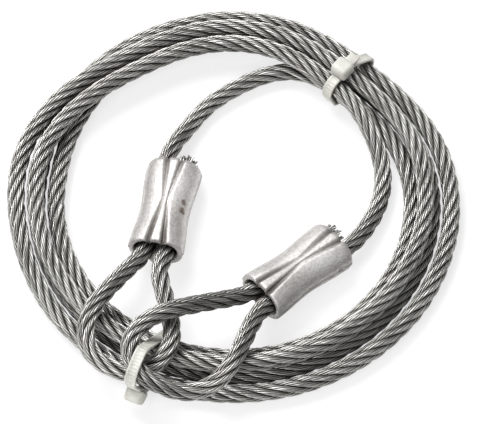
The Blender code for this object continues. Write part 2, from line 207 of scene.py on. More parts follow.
# Studio. The floor and the lights are in metres and watts, the camera is in millimetres.
FLOOR_SIZE = 3.0
FLOOR_GLOW = 0.72
KEY_PLACE = (-0.25, 0.35, 0.75)
KEY_SIZE = (0.5, 0.5)
KEY_WATTS = 9.0
FILL_PLACE = (-0.4, -0.6, 0.6)
FILL_SIZE = (0.4, 0.4)
FILL_WATTS = 4.6
LIGHT_TARGET = (0.0, 0.0, 0.0)
CAMERA_ELEVATION = 60.2
CAMERA_DISTANCE = 900.0
CAMERA_TARGET = (2.3, -3.4, 1.45)
SENSOR_WIDTH = 36.0
VIEW_WIDTH = 158.4

FLOOR_LANE_HEIGHT = STRAP_THICKNESS + STRAP_GAP + ROPE_RADIUS
UPPER_LANE_HEIGHT = FLOOR_LANE_HEIGHT + UPPER_LANE_RISE
TO_ORIGIN = np.array((-FOOTPRINT_MIDDLE[0], -FOOTPRINT_MIDDLE[1], 0.0))


# ---------------------------------------------------------------- path of the rope


def smooth(t):
    """0 to 1 with level ends."""
    t = min(max(t, 0.0), 1.0)
    return t * t * (3.0 - 2.0 * t)


def unit(vector):
    return vector / np.linalg.norm(vector)


def units(vectors):
    return vectors / np.linalg.norm(vectors, axis=-1, keepdims=True)


def middle_lane(angle):
    """Radius of the middle lane, which the first cable tie and the crossing pull inwards."""
    radius = MIDDLE_LANE_RADIUS
    for depth, dent_angle, spread in DENTS:
        away = (angle - dent_angle + 180.0) % 360.0 - 180.0
        radius -= depth * math.exp(-((away / spread) ** 2))
    return radius


def lane_radius(turn, angle):
    """Inner, middle, outer and upper lane, then the place where end B leaves the coil."""
    radius = middle_lane(angle)
    if turn < 3:
        return radius + (turn - 1) * LANE_STEP
    radius -= UPPER_LANE_OFFSET * (1.0 + math.cos(math.radians(angle)))
    return radius if turn == 3 else radius - LANE_STEP


def coil_point(wound):
    """Centre of the rope after this many degrees of winding."""
    angle = CROSSING_END - wound
    turn = int(wound // 360.0)
    crossing_span = CROSSING_START - CROSSING_END
    to_crossing = wound - 360.0 * turn - (360.0 - crossing_span)
    across = smooth(to_crossing / crossing_span)
    radius = (1.0 - across) * lane_radius(turn, angle)
    radius += across * lane_radius(min(turn + 1, TURNS), angle)
    climb = 0.0
    if turn == 2:
        climb_span = CLIMB_START - CROSSING_START
        climb = smooth((to_crossing + climb_span) / climb_span)
    elif turn > 2:
        climb = 1.0
    height = FLOOR_LANE_HEIGHT + climb * (UPPER_LANE_HEIGHT - FLOOR_LANE_HEIGHT)
    turned = math.radians(angle)
    return radius * math.cos(turned), radius * math.sin(turned), height


def ferrule_frame(eye_end, lead_end):
    """Eye end, lead end, direction from eye to lead, and sideways direction of a ferrule."""
    eye_end = np.array(eye_end)
    lead_end = np.array(lead_end)
    along = unit(lead_end - eye_end)
    return eye_end, lead_end, along, unit(np.cross(along, UP))


def ferrule_pass(eye_end, lead_end, offset, beyond_lead, beyond_eye):
    """Points of a straight rope part in a ferrule, from its lead end to its eye end."""
    eye, lead, along, side = ferrule_frame(eye_end, lead_end)
    first = lead + along * beyond_lead + side * offset
    last = eye - along * beyond_eye + side * offset
    return [first + (last - first) * t for t in np.linspace(0.0, 1.0, PASS_POINTS)]


def rope_controls():
    """Points that the rope's centre passes, from the dead end at A to the one at B."""
    ends_a = (FERRULE_A_EYE_END, FERRULE_A_LEAD_END)
    ends_b = (FERRULE_B_EYE_END, FERRULE_B_LEAD_END)
    stub = (STUB_LENGTH, STRAIGHT_BEYOND_EYE)
    lead = (STRAIGHT_BEYOND_LEAD, STRAIGHT_BEYOND_EYE)
    points = ferrule_pass(*ends_a, BORE_OFFSET, *stub)
    points += EYE_A
    points += reversed(ferrule_pass(*ends_a, -BORE_OFFSET, *lead))
    points += LEAD_A
    first_wound = CROSSING_END - JOINING_ANGLE
    last_wound = 360.0 * TURNS + CROSSING_END - DEPARTURE_ANGLE
    steps = int(round((last_wound - first_wound) / WINDING_STEP))
    points += [coil_point(w) for w in np.linspace(first_wound, last_wound, steps + 1)]
    points += LEAD_B
    points += ferrule_pass(*ends_b, BORE_OFFSET, *lead)
    points += EYE_B
    points += reversed(ferrule_pass(*ends_b, -BORE_OFFSET, *stub))
    return np.array(points, dtype=float)


def rope_path():
    """The rope's centre in steps of about half a millimetre, and how far along each point is."""
    points = rope_controls()
    gaps = np.linalg.norm(np.diff(points, axis=0), axis=1)
    at = np.concatenate([[0.0], np.cumsum(gaps)])
    slope = np.gradient(points, at, axis=0)
    fine = np.arange(0.0, at[-1], PATH_STEP)
    which = np.clip(np.searchsorted(at, fine, side="right") - 1, 0, len(gaps) - 1)
    t = ((fine - at[which]) / gaps[which])[:, None]
    gap = gaps[which][:, None]
    curve = (1 + 2 * t) * (1 - t) ** 2 * points[which]
    curve += t * (1 - t) ** 2 * gap * slope[which]
    curve += t**2 * (3 - 2 * t) * points[which + 1]
    curve += t**2 * (t - 1) * gap * slope[which + 1]
    curve = relaxed(curve)
    steps = np.linalg.norm(np.diff(curve, axis=0), axis=1)
    return curve, np.concatenate([[0.0], np.cumsum(steps)])


def relaxed(curve):
    """The curve with its tight bends eased, as stiff rope eases them."""
    reach = EASING_REACH * EASING
    weights = np.exp(-((np.arange(-reach, reach + 1) / EASING) ** 2) / 2)
    weights /= weights.sum()
    before = curve[0] + (curve[0] - curve[1 : reach + 1])[::-1]
    after = curve[-1] + (curve[-1] - curve[-reach - 1 : -1])[::-1]
    padded = np.concatenate([before, curve, after])
    eased = [np.convolve(padded[:, axis], weights, mode="valid") for axis in range(3)]
    return np.stack(eased, axis=1)


def along_path(values, at, places):
    """Vectors known along the path, at other places along it."""
    return np.stack([np.interp(places, at, values[:, axis]) for axis in range(3)], axis=1)


def section_ranges(curve, at):
    """Where end A, the coil and end B start and end: the rope is parted at its flex points."""
    angles = np.degrees(np.arctan2(curve[:, 1], curve[:, 0]))
    inside = np.linalg.norm(curve[:, :2], axis=1) < FLEX_RADIUS_LIMIT
    half = len(curve) // 2
    flex_a = np.where(inside, np.abs(angles - FLEX_A_ANGLE), 360.0)
    flex_b = np.where(inside, np.abs(angles - FLEX_B_ANGLE), 360.0)
    cut_a = at[int(np.argmin(flex_a[:half]))]
    cut_b = at[half + int(np.argmin(flex_b[half:]))]
    return {"end_a": (0.0, cut_a), "coil": (cut_a, cut_b), "end_b": (cut_b, at[-1])}


def rope_rings():
    """Closely spaced cross-sections of the whole rope: centres, three directions and how far
    along each one is, then the first and last of each section."""
    curve, at = rope_path()
    ranges = {}
    places = [np.zeros(1)]
    for name, (start, end) in section_ranges(curve, at).items():
        first = sum(len(part) for part in places) - 1
        count = int(round((end - start) / WIRE_STEP))
        places.append(np.linspace(start, end, count + 1)[1:])
        ranges[name] = (first, first + count)
    places = np.concatenate(places)
    centres = along_path(curve, at, places)
    tangents = units(along_path(np.gradient(curve, axis=0), at, places))
    sides = units(np.cross(UP, tangents))
    return (centres, sides, np.cross(tangents, sides), tangents, places), ranges


# ---------------------------------------------------------------- mesh helpers


def mesh_object(name, points, faces, finish):
    """An object from points in mm and a list of face index lists."""
    mesh = bpy.data.meshes.new(name)
    mesh.from_pydata((np.asarray(points) * MM).tolist(), [], faces)
    mesh.materials.append(finish)
    made = bpy.data.objects.new(name, mesh)
    bpy.context.scene.collection.objects.link(made)
    return made


def tubes(paths, tangents, sideways, radius, sides):
    """Points and faces of one closed tube along each path."""
    count, steps = paths.shape[:2]
    first = units(sideways - (sideways * tangents).sum(-1, keepdims=True) * tangents)
    second = np.cross(tangents, first)
    around = 2.0 * math.pi * np.arange(sides) / sides
    ring = np.cos(around)[:, None] * first[:, :, None, :]
    ring = ring + np.sin(around)[:, None] * second[:, :, None, :]
    points = paths[:, :, None, :] + radius * ring
    index = np.arange(count * steps * sides).reshape(count, steps, sides)
    here = index[:, :-1]
    ahead = index[:, 1:]
    quads = [here, np.roll(here, -1, axis=2), np.roll(ahead, -1, axis=2), ahead]
    quads = np.stack(quads, axis=-1).reshape(-1, 4)
    caps = [index[:, 0, ::-1], index[:, -1]]
    return points.reshape(-1, 3), quads, np.concatenate(caps)


def tube_object(name, paths, tangents, sideways, tones, finish):
    """Wires as one mesh, filled array by array because a rope has very many faces."""
    sides = WIRE_SIDES
    points, quads, caps = tubes(paths, tangents, sideways, WIRE_RADIUS, sides)
    mesh = bpy.data.meshes.new(name)
    mesh.vertices.add(len(points))
    mesh.vertices.foreach_set("co", ((points + TO_ORIGIN) * MM).astype(np.float32).ravel())
    mesh.loops.add(quads.size + caps.size)
    corners = np.concatenate([quads.ravel(), caps.ravel()]).astype(np.int32)
    mesh.loops.foreach_set("vertex_index", corners)
    mesh.polygons.add(len(quads) + len(caps))
    starts = np.arange(len(quads)) * 4
    cap_starts = quads.size + np.arange(len(caps)) * sides
    mesh.polygons.foreach_set("loop_start", np.concatenate([starts, cap_starts]).astype(np.int32))
    is_cap = np.arange(len(quads) + len(caps)) >= len(quads)
    mesh.polygons.foreach_set("use_smooth", ~is_cap)
    mesh.update(calc_edges=True)
    edges = np.empty(len(corners), np.int32)
    mesh.loops.foreach_get("edge_index", edges)
    sharp = np.zeros(len(mesh.edges), bool)
    sharp[edges[quads.size :]] = True
    mesh.edges.foreach_set("use_edge_sharp", sharp)
    tone = mesh.attributes.new("wire_tone", "FLOAT", "POINT")
    per_wire = np.repeat(tones, paths.shape[1] * sides).astype(np.float32)
    tone.data.foreach_set("value", per_wire)
    mesh.materials.append(finish)
    made = bpy.data.objects.new(name, mesh)
    bpy.context.scene.collection.objects.link(made)
    return made


# ---------------------------------------------------------------- rope


def strand_wires(rings, phases, radius):
    """Paths of a strand's wires: a straight king wire and the ones laid round it, left-hand."""
    centres, sides, ups, tangents, places = rings
    outward = np.cos(phases)[:, None] * sides + np.sin(phases)[:, None] * ups
    middle = centres + radius * outward
    strand_way = units(np.gradient(middle, axis=0))
    first = units(outward - (outward * strand_way).sum(-1, keepdims=True) * strand_way)
    second = np.cross(strand_way, first)
    lay = 2.0 * math.pi * places / WIRE_LAY_LENGTH
    paths = [middle]
    for wire in range(WIRES):
        turned = 2.0 * math.pi * wire / WIRES - lay
        offset = np.cos(turned)[:, None] * first + np.sin(turned)[:, None] * second
        paths.append(middle + WIRE_CENTRE_RADIUS * offset)
    return np.array(paths)


def fray(paths, rings, draws, at_start):
    """Lets the wires' cut ends spring open a little, each to its own length."""
    centres, sides, ups, tangents, places = rings
    from_end = places if at_start else places[-1] - places
    share = np.clip(1.0 - from_end / FRAY_LENGTH, 0.0, 1.0)[:, None]
    out = (paths - centres) / ROPE_RADIUS
    beyond = -tangents if at_start else tangents
    for wire in range(len(paths)):
        spread = FRAY_SPREAD * draws.uniform(0.1, 1.0)
        wander = draws.normal(0.0, 0.3, 3) + 0.35 * UP
        longer = draws.uniform(-FRAY_SHORTEST, FRAY_LONGEST)
        paths[wire] += share**2 * (spread * out[wire] + wander) + share * longer * beyond


def add_rope(finish):
    """Every strand of the rope as its own piece, in place of the CAD strand of that name."""
    draws = np.random.RandomState(5)
    rings, ranges = rope_rings()
    centres, sides, ups, tangents, places = rings
    strands = [
        (f"strand_{number + 1}", STRAND_CENTRE_RADIUS, 2.0 * math.pi * number / STRANDS)
        for number in range(STRANDS)
    ]
    strands.append(("core_strand", 0.0, 0.0))
    for strand, radius, turned in strands:
        phases = 2.0 * math.pi * places / LAY_LENGTH + turned
        paths = strand_wires(rings, phases, radius)
        fray(paths, rings, draws, True)
        fray(paths, rings, draws, False)
        ways = units(np.gradient(paths, axis=1))
        tones = draws.uniform(0.0, 1.0, len(paths))
        for section, (first, last) in ranges.items():
            part = slice(first, last + 1)
            node = f"{section}_{strand}"
            piece = tube_object(
                f"wires_{node}", paths[:, part], ways[:, part], sides[part], tones, finish
            )
            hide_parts(node)
            if section == "coil":
                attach(piece, "coil")
                continue
            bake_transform(piece)


# ---------------------------------------------------------------- ferrules


def pressed_outline(turned, height, length, notched):
    """Outside of the sleeve, and how much painted shade each point gets in a crease. Two lobes with a
    ridge between two creases, top and bottom, and a line of flash down each side."""
    along = 2.0 * height / length
    spread = abs(along)
    pinch = math.exp(-(((along + 0.1) / 0.55) ** 2))
    half_width = FERRULE_WIDTH / 2 * (1.0 - 0.125 * pinch)
    half_height = FERRULE_HEIGHT / 2 * (1.0 - 0.07 * pinch)
    power = 2.0 / 2.25
    cosine = np.cos(turned)
    sine = np.sin(turned)
    x = half_width * np.sign(cosine) * np.abs(cosine) ** power
    y = half_height * np.sign(sine) * np.abs(sine) ** power
    crease_at = 0.75 + 1.6 * spread**1.15
    depth = 0.3 + 1.15 * spread
    from_crease = np.abs(x) - crease_at
    width = np.where(from_crease > 0.0, 0.5 + 0.75 * spread, 0.28 + 0.3 * spread)
    crease = np.exp(-((from_crease / width) ** 2))
    y -= np.sign(sine) * depth * crease * np.minimum(1.0, np.abs(sine) * 2.0)
    flash = FLASH_HEIGHT * np.exp(-((y / 0.3) ** 2)) - 0.2 * np.exp(-(((np.abs(y) - 0.85) / 0.35) ** 2))
    if notched:
        missing = math.exp(-(((along - NOTCH_PLACE) / NOTCH_LENGTH) ** 2))
        flash -= NOTCH_DEPTH * missing * np.exp(-((y / NOTCH_HEIGHT) ** 2)) * (cosine > 0.0)
    x += np.sign(cosine) * flash
    # Painted shade in the creases, weaker at the lead end.
    darkest = 1.0 if along < 0.0 else 0.6
    shade = crease * darkest * (0.3 + 0.7 * spread) * np.minimum(1.0, np.abs(sine) * 2.0)
    return x, y, shade


def bore_outline(turned):
    """Opening round the two rope parts, narrower between them."""
    radius = ROPE_RADIUS + BORE_CLEARANCE
    x = (BORE_OFFSET + radius) * np.cos(turned)
    inside = np.clip(np.abs(x) - BORE_OFFSET, 0.0, radius)
    lobe = np.sqrt(np.maximum(radius**2 - inside**2, 0.0))
    waist = 1.0 - 0.22 * np.exp(-((x / 1.6) ** 2))
    return x, np.sign(np.sin(turned)) * lobe * waist


def ferrule_rings(length):
    """Height, inset and share of the bore's outline for each ring, from the middle of the
    eye end's bore, round the outside, to the middle of the lead end's bore."""
    half = length / 2
    rings = []
    for depth, share in ((4.0, 1.0), (2.2, 0.9), (1.0, 0.6), (0.3, 0.25), (0.0, 0.0)):
        rings.append((-half + depth, LIP_THICKNESS, share))
    for angle in np.radians((90.0, 60.0, 30.0)):
        inset = EYE_END_ROUND * (1.0 - math.cos(angle))
        rings.append((-half + EYE_END_ROUND * (1.0 - math.sin(angle)), inset, 0.0))
    for height in np.linspace(-half + EYE_END_ROUND, half - LEAD_END_ROUND, 80):
        rings.append((height, 0.0, 0.0))
    for angle in np.radians((15.0, 30.0, 45.0, 60.0, 75.0, 90.0)):
        inset = LEAD_END_ROUND * (1.0 - math.cos(angle))
        rings.append((half - LEAD_END_ROUND * (1.0 - math.sin(angle)), inset, 0.0))
    for depth, share in ((0.0, 0.5), (0.05, 0.85), (0.3, 1.0), (1.0, 1.0), (4.0, 1.0)):
        rings.append((half - depth, LEAD_END_ROUND, share))
    return rings


def add_ferrule(name, body, eye_end, lead_end, finish, reflection_patches, notched):
    """Pressed sleeve with its creases and flash, open round the two rope parts, carrying its painted
    crease shade and its patches of painted brownish reflection.
    """
    eye, lead, along, side = ferrule_frame(eye_end, lead_end)
    length = float(np.linalg.norm(lead - eye))
    even = np.arange(FERRULE_STEPS) / FERRULE_STEPS * 2.0 * math.pi
    # Closer together at the top and bottom, where the creases are.
    turned = even + 0.32 * np.sin(2.0 * even)
    bore_x, bore_y = bore_outline(turned)
    points = []
    shades = []
    rings = ferrule_rings(length)
    for height, inset, share in rings:
        x, y, shade = pressed_outline(turned, height, length, notched)
        size = np.hypot(x, y)
        x = (1.0 - share) * x * (1.0 - inset / size) + share * bore_x
        y = (1.0 - share) * y * (1.0 - inset / size) + share * bore_y
        points.append(np.stack([x, y, np.full(FERRULE_STEPS, height)], axis=1))
        shades.append(shade)
    points = np.concatenate(points)
    index = np.arange(len(rings) * FERRULE_STEPS).reshape(len(rings), FERRULE_STEPS)
    ahead = np.roll(index, -1, axis=0)
    quads = [index, np.roll(index, -1, axis=1), np.roll(ahead, -1, axis=1), ahead]
    quads = np.stack(quads, axis=-1).reshape(-1, 4)
    ferrule = mesh_object(name, points, quads.tolist(), finish)
    ferrule.data.shade_smooth()
    # Painted brownish reflection: how strongly each point takes the brown patches.
    painted_reflection = np.zeros(len(points))
    for place, radius in reflection_patches:
        away = np.linalg.norm(points - np.array(place), axis=1)
        painted_reflection = np.maximum(painted_reflection, np.clip(1.3 - away / radius, 0.0, 1.0))
    for label, values in (("painted_reflection", painted_reflection), ("crease", np.concatenate(shades))):
        attribute = ferrule.data.attributes.new(label, "FLOAT", "POINT")
        attribute.data.foreach_set("value", values.astype(np.float32))
    thick = np.cross(along, side)
    rotation = Matrix((side, thick, along)).transposed().to_4x4()
    middle = Vector(((eye + lead) / 2 + TO_ORIGIN) * MM)
    ferrule.matrix_world = Matrix.Translation(middle) @ rotation
    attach(ferrule, body)
    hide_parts(name.replace("pressed_", ""))


# ---------------------------------------------------------------- cable ties


def convex_outline(points):
    """Corners of the tightest outline round some points, counter-clockwise."""
    ordered = sorted({(round(x, 4), round(y, 4)) for x, y in points})
    sides = []
    for sequence in (ordered, ordered[::-1]):
        chain = []
        for point in sequence:
            while len(chain) > 1:
                (ax, ay), (bx, by) = chain[-2:]
                if (bx - ax) * (point[1] - ay) - (by - ay) * (point[0] - ax) > 1e-9:
                    break
                chain.pop()
            chain.append(point)
        sides.append(chain[:-1])
    return sides[0] + sides[1]


def loop_round(centres, radius, step):
    """Tight loop at this distance round the centres of the ropes in a cable tie."""
    points = []
    for centre in centres:
        for turned in np.radians(np.arange(0.0, 360.0, step)):
            x = centre[0] + radius * math.cos(turned)
            points.append((x, centre[1] + radius * math.sin(turned)))
    return convex_outline(points)


def ropes_at(angle, travel):
    """Radius and height of the rope's centres in the sector that a cable tie needs."""
    centres = rope_path()[0]
    around = np.degrees(np.arctan2(centres[:, 1], centres[:, 0]))
    radii = np.linalg.norm(centres[:, :2], axis=1)
    away = (around - angle + 180.0) % 360.0 - 180.0
    reach = STRAP_WIDTH / 2 + OBLIQUE_REACH + np.radians(travel) * radii
    near = (np.abs(np.radians(away) * radii) < reach) & (radii > TIE_INNER_RADIUS)
    in_lanes = centres[:, 2] < UPPER_LANE_HEIGHT + LANE_CLEARANCE
    near &= in_lanes | (radii > EYE_TIP_RADIUS)
    return list(zip(radii[near], centres[near, 2]))


def head_place(loop, direction):
    """Middle, direction and outward direction of the loop's straight stretch facing a way."""
    best = None
    for start, end in zip(loop, loop[1:] + loop[:1]):
        stretch = np.array(end) - np.array(start)
        length = np.linalg.norm(stretch)
        outward = np.array((stretch[1], -stretch[0])) / length
        facing = length * max(0.0, float(outward @ direction)) ** 4
        if best is None or facing > best[0]:
            best = (facing, (np.array(start) + np.array(end)) / 2, stretch / length, outward)
    return best[1:]


def strap_points(loop):
    """Even steps round the middle of the strap, with the outward direction at each."""
    corners = np.array(loop + loop[:1])
    lengths = np.linalg.norm(np.diff(corners, axis=0), axis=1)
    at = np.concatenate([[0.0], np.cumsum(lengths)])
    even = np.linspace(0.0, at[-1], int(at[-1] / STRAP_STEP), endpoint=False)
    points = np.stack([np.interp(even, at, corners[:, axis]) for axis in range(2)], axis=1)
    way = units(np.roll(points, -2, axis=0) - np.roll(points, 2, axis=0))
    return points, np.stack([way[:, 1], -way[:, 0]], axis=1), even


def strap_section(position):
    """Corners (outward, across) of the ribbed strap at a place along it."""
    half = STRAP_THICKNESS / 2
    wide = STRAP_WIDTH / 2
    rib = RIB_DEPTH * (0.5 - 0.5 * math.cos(2.0 * math.pi * position / RIB_PITCH)) ** 0.7
    corners = (
        (-half, -wide + 0.25),
        (-half, 0.0),
        (-half, wide - 0.25),
        (-half + 0.25, wide),
        (half - 0.22, wide),
        (half, wide - 0.2),
        (half, wide - 0.55),
        (half - rib, wide - 0.75),
        (half - rib, 0.0),
        (half - rib, -wide + 0.75),
        (half, -wide + 0.55),
        (half, -wide + 0.2),
        (half - 0.22, -wide),
        (-half + 0.25, -wide),
    )
    return np.array(corners)


def add_strap(name, loop, finish):
    """The ribbed strap, closed round the ropes."""
    points, outward, even = strap_points(loop)
    rings = []
    for point, out, position in zip(points, outward, even):
        section = strap_section(position)
        flat = point + section[:, :1] * out
        rings.append(np.column_stack([flat, section[:, 1]]))
    rings = np.array(rings)
    count, corners = rings.shape[:2]
    index = np.arange(count * corners).reshape(count, corners)
    ahead = np.roll(index, -1, axis=0)
    quads = [index, ahead, np.roll(ahead, -1, axis=1), np.roll(index, -1, axis=1)]
    quads = np.stack(quads, axis=-1).reshape(-1, 4)
    strap = mesh_object(name, rings.reshape(-1, 3), quads.tolist(), finish)
    strap.data.shade_smooth()
    strap.data.set_sharp_from_angle(angle=math.radians(50.0))
    return strap


def rounded_block(name, size, bevel, taper, finish):
    """Block with its centre at the origin, rounded edges and a top smaller than its foot."""
    work = bmesh.new()
    bmesh.ops.create_cube(work, size=1.0)
    for vert in work.verts:
        vert.co = Vector(vert.co[axis] * size[axis] * MM for axis in range(3))
        if vert.co.y > 0.0:
            vert.co.x *= taper
            vert.co.z *= taper
    bmesh.ops.bevel(
        work, geom=list(work.edges) + list(work.verts), offset=bevel * MM, segments=4,
        profile=0.5, affect="EDGES",
    )
    mesh = bpy.data.meshes.new(name)
    work.to_mesh(mesh)
    work.free()
    mesh.materials.append(finish)
    mesh.shade_smooth()
    mesh.set_sharp_from_angle(angle=math.radians(40.0))
    made = bpy.data.objects.new(name, mesh)
    bpy.context.scene.collection.objects.link(made)
    return made


def add_cable_tie(node, body, angle, travel, head_way, stub_way, finish):
    """Ribbed strap, ratchet head, and the end of the trimmed tail."""
    ropes = ropes_at(angle, travel)
    middle_line = ROPE_RADIUS + STRAP_GAP + STRAP_THICKNESS / 2
    strap = add_strap(node + "_strap", loop_round(ropes, middle_line, STRAP_CORNER_STEP), finish)
    outer_line = ROPE_RADIUS + STRAP_GAP + STRAP_THICKNESS
    outer = loop_round(ropes, outer_line, HEAD_CORNER_STEP)
    turned = math.radians(angle)
    radial = Vector((math.cos(turned), math.sin(turned), 0.0))
    place = Matrix((radial, Vector(UP), radial.cross(Vector(UP)))).transposed().to_4x4()
    place = Matrix.Translation(Vector(TO_ORIGIN * MM)) @ place
    middle, stretch, outward = head_place(outer, np.array(head_way))
    if stretch @ np.array(stub_way) < 0.0:
        stretch = -stretch
    length, width, height = TIE_HEAD_SIZE
    tangent = np.array((*stretch, 0.0))
    normal = np.array((*outward, 0.0))
    across = np.cross(tangent, normal)
    local = Matrix((tangent, normal, across)).transposed().to_4x4()
    centre = np.array((*(middle + outward * (height / 2 - STRAP_THICKNESS / 2)), 0.0))
    head_size = (length, height, width)
    head = rounded_block(node + "_head", head_size, TIE_HEAD_BEVEL, TIE_HEAD_TAPER, finish)
    head.matrix_world = place @ Matrix.Translation(Vector(centre * MM)) @ local
    tail_size = (TIE_STUB_LENGTH + STUB_OVERLAP, STRAP_THICKNESS, STRAP_WIDTH)
    tail = rounded_block(node + "_tail", tail_size, STUB_BEVEL, 1.0, finish)
    tail_at = middle + outward * STUB_RISE + stretch * (length / 2 + TIE_STUB_LENGTH / 2)
    tail_at = np.array((*tail_at, 0.0))
    tail.matrix_world = place @ Matrix.Translation(Vector(tail_at * MM)) @ local
    strap.matrix_world = place
    for piece in (strap, head, tail):
        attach(piece, body)
    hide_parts(node)


# ---------------------------------------------------------------- materials


def new_material(name):
    made = bpy.data.materials.new(name)
    made.use_nodes = True
    return made, made.node_tree.nodes, made.node_tree.links


def value_node(nodes, links, operation, first, second):
    """A math node on two sockets or numbers."""
    made = nodes.new("ShaderNodeMath")
    made.operation = operation
    for socket, source in zip(made.inputs, (first, second)):
        if isinstance(source, (int, float)):
            socket.default_value = source
        else:
            links.new(source, socket)
    return made.outputs[0]


def noise_node(nodes, links, vector, scale, detail, stretch=(1.0, 1.0, 1.0)):
    mapping = nodes.new("ShaderNodeMapping")
    mapping.inputs["Scale"].default_value = stretch
    links.new(vector, mapping.inputs["Vector"])
    made = nodes.new("ShaderNodeTexNoise")
    made.inputs["Scale"].default_value = scale
    made.inputs["Detail"].default_value = detail
    links.new(mapping.outputs[0], made.inputs["Vector"])
    return made.outputs["Fac"]


def ramp_node(nodes, links, source, stops):
    made = nodes.new("ShaderNodeValToRGB")
    ramp = made.color_ramp
    while len(ramp.elements) < len(stops):
        ramp.elements.new(0.5)
    for element, (position, colour) in zip(ramp.elements, stops):
        element.position = position
        element.color = (*colour, 1.0)
    links.new(source, made.inputs["Fac"])
    return made.outputs["Color"]


def multiply_colour(nodes, links, first, second):
    made = nodes.new("ShaderNodeMix")
    made.data_type = "RGBA"
    made.blend_type = "MULTIPLY"
    made.inputs["Factor"].default_value = 1.0
    links.new(first, made.inputs["A"])
    links.new(second, made.inputs["B"])
    return made.outputs["Result"]


def bump(nodes, links, surface, height, strength, distance):
    made = nodes.new("ShaderNodeBump")
    made.inputs["Strength"].default_value = strength
    made.inputs["Distance"].default_value = distance
    links.new(height, made.inputs["Height"])
    links.new(made.outputs["Normal"], surface.inputs["Normal"])


def painted_hollow_shade(nodes, links, distance, stops):
    """Painted shade: colour by how hidden a place is from its surroundings."""
    hollow = nodes.new("ShaderNodeAmbientOcclusion")
    hollow.inputs["Distance"].default_value = distance
    hollow.samples = 4
    return ramp_node(nodes, links, hollow.outputs["AO"], stops)


def attribute_value(nodes, name):
    made = nodes.new("ShaderNodeAttribute")
    made.attribute_name = name
    return made.outputs["Fac"]


def galvanised_wire():
    """Zinc-coated wire: each wire its own grey, mottled, with painted shade down in the gaps and
    between the rope's turns.
    """
    made, nodes, links = new_material("galvanised_wire")
    surface = nodes["Principled BSDF"]
    surface.inputs["Metallic"].default_value = 0.9
    coordinates = nodes.new("ShaderNodeTexCoord").outputs["Object"]
    mottle = noise_node(nodes, links, coordinates, 480.0, 4.0)
    mixed = value_node(nodes, links, "ADD", attribute_value(nodes, "wire_tone"), mottle)
    mixed = value_node(nodes, links, "MULTIPLY", mixed, 0.5)
    zinc = ramp_node(
        nodes, links, mixed,
        ((0.2, (0.20, 0.195, 0.185)), (0.5, (0.34, 0.335, 0.32)), (0.8, (0.52, 0.515, 0.50))),
    )
    # Painted shade: the wires darkened down in the gaps between them and between the strands, where
    # little light gets in.
    painted_gap_shade = painted_hollow_shade(
        nodes, links, 1.1 * MM,
        ((0.1, (0.07, 0.065, 0.055)), (0.6, (0.66, 0.65, 0.63)), (0.95, (1.0, 1.0, 1.0))),
    )
    # Painted shade: darker where one turn of the rope lies against the next.
    painted_shade_between_turns = painted_hollow_shade(
        nodes, links, 6.0 * MM,
        ((0.05, (0.30, 0.28, 0.26)), (0.45, (0.94, 0.935, 0.925)), (0.9, (1.0, 1.0, 1.0))),
    )
    colour = multiply_colour(nodes, links, zinc, painted_gap_shade)
    colour = multiply_colour(nodes, links, colour, painted_shade_between_turns)
    links.new(colour, surface.inputs["Base Color"])
    fine = noise_node(nodes, links, coordinates, 1500.0, 2.0)
    rough = value_node(nodes, links, "MULTIPLY", fine, 0.25)
    rough = value_node(nodes, links, "ADD", rough, 0.24)
    links.new(rough, surface.inputs["Roughness"])
    bump(nodes, links, surface, fine, 0.3, 0.05 * MM)
    return made


def pressed_aluminium():
    """Satin sleeve metal with drag lines, painted shade in its creases and deep places, and patches of
    painted brownish reflection.
    """
    made, nodes, links = new_material("pressed_aluminium")
    surface = nodes["Principled BSDF"]
    surface.inputs["Metallic"].default_value = 0.65
    coordinates = nodes.new("ShaderNodeTexCoord").outputs["Object"]
    drawn = noise_node(nodes, links, coordinates, 900.0, 3.0, (1.0, 1.0, 0.05))
    smear = noise_node(nodes, links, coordinates, 130.0, 4.0, (1.0, 1.0, 0.5))
    metal = ramp_node(
        nodes, links, smear,
        ((0.3, (0.46, 0.445, 0.43)), (0.5, (0.60, 0.585, 0.57)), (0.7, (0.72, 0.71, 0.70))),
    )
    specks = noise_node(nodes, links, coordinates, 1700.0, 3.0, (1.0, 1.0, 0.6))
    grain = ramp_node(
        nodes, links, specks, ((0.36, (0.76, 0.745, 0.74)), (0.58, (1.0, 1.0, 1.0)))
    )
    patch = noise_node(nodes, links, coordinates, 1100.0, 2.0)
    patch = value_node(nodes, links, "MULTIPLY", patch, 1.9)
    patch = value_node(nodes, links, "MULTIPLY", patch, attribute_value(nodes, "painted_reflection"))
    # Painted reflection: the brownish patches multiplied into the metal's colour.
    brown = ramp_node(
        nodes, links, patch, ((0.15, (1.0, 1.0, 1.0)), (0.7, (0.36, 0.29, 0.23)))
    )
    # Painted shade: darker down in the creases, less so at the lead end.
    painted_crease_shade = ramp_node(
        nodes, links, attribute_value(nodes, "crease"),
        ((0.2, (1.0, 1.0, 1.0)), (0.55, (0.50, 0.48, 0.46)), (0.95, (0.17, 0.16, 0.15))),
    )
    # Painted shade: darker in the deep places of the sleeve, round the bores and ends.
    painted_depth_shade = painted_hollow_shade(
        nodes, links, 3.0 * MM,
        ((0.05, (0.06, 0.055, 0.05)), (0.55, (0.80, 0.79, 0.78)), (0.9, (1.0, 1.0, 1.0))),
    )
    colour = multiply_colour(nodes, links, metal, grain)
    colour = multiply_colour(nodes, links, colour, brown)
    colour = multiply_colour(nodes, links, colour, painted_crease_shade)
    links.new(multiply_colour(nodes, links, colour, painted_depth_shade), surface.inputs["Base Color"])
    rough = value_node(nodes, links, "MULTIPLY", drawn, 0.2)
    rough = value_node(nodes, links, "ADD", rough, 0.4)
    links.new(rough, surface.inputs["Roughness"])
    height = value_node(nodes, links, "ADD", drawn, specks)
    bump(nodes, links, surface, height, 0.5, 0.12 * MM)
    return made


